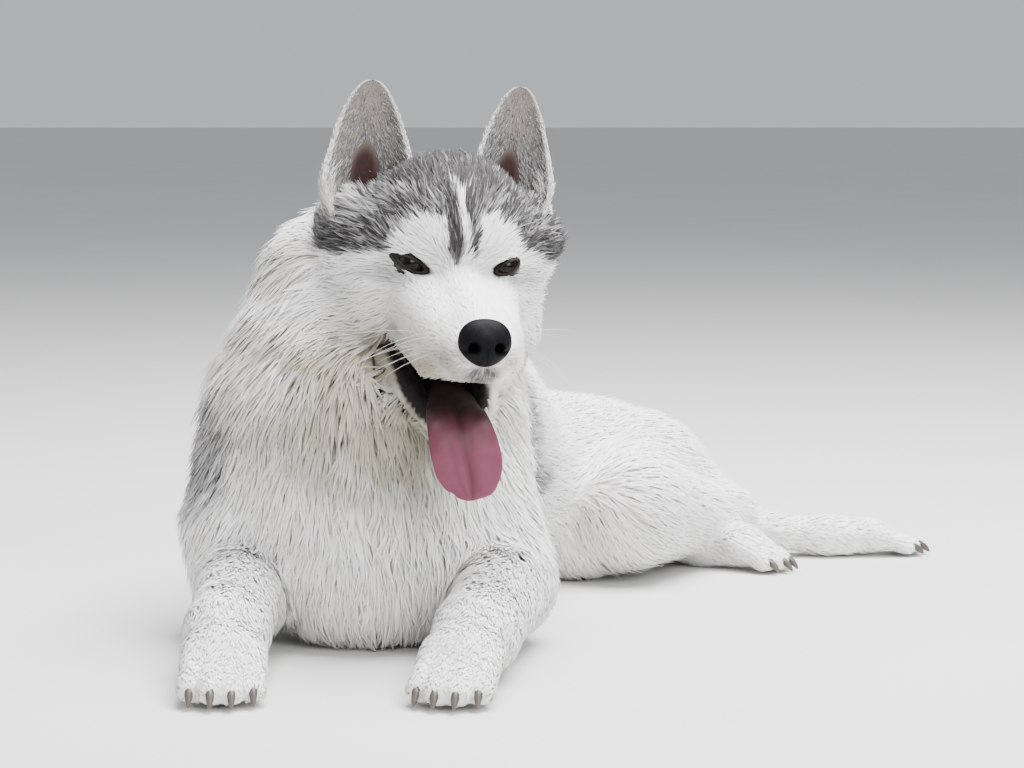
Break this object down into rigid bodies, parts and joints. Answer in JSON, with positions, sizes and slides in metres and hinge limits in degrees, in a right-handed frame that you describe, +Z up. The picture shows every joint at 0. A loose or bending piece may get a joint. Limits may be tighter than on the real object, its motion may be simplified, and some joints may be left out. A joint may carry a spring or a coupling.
{
  "type": "husky dog",
  "caption": "Siberian husky lying on its belly, head raised and turned, mouth open with the tongue out: a life-size still model that rests on the floor.",
  "frame": {"origin": "on the floor, in the middle of the flat under the breastbone", "axes": "+Z up from the floor, -Y toward the side the face and forepaws point to, +X toward the animal's left side"},
  "size_m": [0.6766, 0.9783, 0.448],
  "materials": {
    "white_coat": "long matte fur",
    "grey_coat": "long matte fur, speckled",
    "ear_coat": "short fur",
    "eye": "glossy, wet",
    "nose": "damp, finely pebbled",
    "tongue": "wet satin"
  },
  "bodies": {
    "root": {"head": "white_coat", "jaw": "white_coat", "tongue": "tongue", "nose": "nose", "ear_left": "ear_coat", "ear_right": "ear_coat", "eye_left": "eye", "eye_right": "eye", "neck": "white_coat", "torso": "grey_coat", "foreleg_left": "white_coat", "foreleg_right": "white_coat", "forepaw_left": "white_coat", "forepaw_right": "white_coat", "hindleg_left": "white_coat", "hindleg_right": "white_coat", "hindpaw_left": "white_coat", "hindpaw_right": "white_coat", "tail": "grey_coat"}
  },
  "joints": []
}
